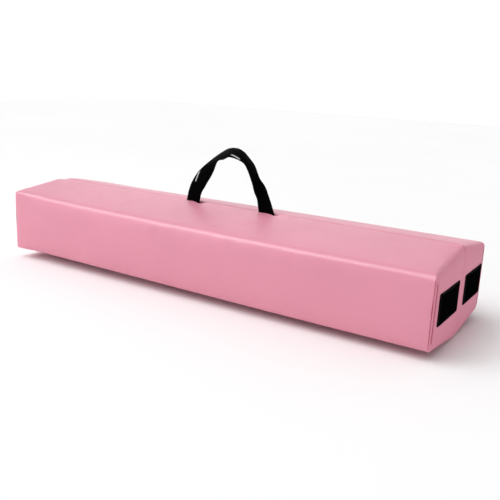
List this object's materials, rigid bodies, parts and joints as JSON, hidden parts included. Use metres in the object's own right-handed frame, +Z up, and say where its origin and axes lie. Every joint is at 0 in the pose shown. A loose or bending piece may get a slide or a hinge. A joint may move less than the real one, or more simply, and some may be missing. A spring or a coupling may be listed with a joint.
{
  "type": "folding balance beam",
  "caption": "Folding floor balance beam in padded vinyl, folded base to base at a fabric hinge, with a twisted webbing carry handle and hook-and-loop patches on its free ends.",
  "frame": {"origin": "under the middle of the folded beam, at its lowest line, midway between the two halves' bases", "axes": "+X along the beam, from the fold to the free ends; -Y is the front half's walking face and +Y the rear half's; +Z up, towards the carry handle"},
  "size_m": [0.794, 0.239, 0.2306],
  "materials": {
    "vinyl": "satin",
    "seam_vinyl": "satin",
    "hinge_vinyl": "satin",
    "base_fabric": "matte",
    "foam": "matte",
    "firm_foam": "matte",
    "hook_and_loop": "matte",
    "webbing": "glossy",
    "zip_fabric": "matte",
    "zip_nylon": "satin",
    "zip_metal": "satin"
  },
  "bodies": {
    "front_half": {"front_cover": "vinyl", "front_base_panel": "base_fabric", "front_free_end_panel": "vinyl", "front_fold_end_panel": "vinyl", "front_free_end_seam": "seam_vinyl", "front_fold_end_seam": "seam_vinyl", "front_foam_core": "foam", "front_top_pad": "firm_foam", "front_end_patch": "hook_and_loop", "front_zip_tape": "zip_fabric", "front_zip_coil": "zip_nylon", "front_zip_stops": "zip_metal", "front_hinge_leaf": "hinge_vinyl", "hinge_fold_line": "hinge_vinyl", "handle_sewn_ends": "webbing"},
    "rear_half": {"rear_cover": "vinyl", "rear_base_panel": "base_fabric", "rear_free_end_panel": "vinyl", "rear_fold_end_panel": "vinyl", "rear_free_end_seam": "seam_vinyl", "rear_fold_end_seam": "seam_vinyl", "rear_foam_core": "foam", "rear_top_pad": "firm_foam", "rear_end_patch": "hook_and_loop", "rear_zip_tape": "zip_fabric", "rear_zip_coil": "zip_nylon", "rear_zip_stops": "zip_metal", "rear_hinge_leaf": "hinge_vinyl"},
    "handle": {"handle_strap": "webbing"},
    "front_slider": {"front_zip_slider": "zip_metal", "front_zip_pull": "zip_metal"},
    "rear_slider": {"rear_zip_slider": "zip_metal", "rear_zip_pull": "zip_metal"}
  },
  "joints": [
    {"name": "fold", "type": "hinge", "parent": "front_half", "child": "rear_half", "pos_m": [-0.39615, 0, 0.06738], "axis": [0, 0, 1], "range_deg": [0, 180]},
    {"name": "handle_swing", "type": "hinge", "parent": "front_half", "child": "handle", "pos_m": [0.00005, 0, 0.13726], "axis": [1, 0, 0], "range_deg": [-85, 85]},
    {"name": "front_zip_slide", "type": "slide", "parent": "front_half", "child": "front_slider", "axis": [1, 0, 0], "range_m": [-0.655, 0]},
    {"name": "rear_zip_slide", "type": "slide", "parent": "rear_half", "child": "rear_slider", "axis": [1, 0, 0], "range_m": [-0.655, 0]}
  ]
}
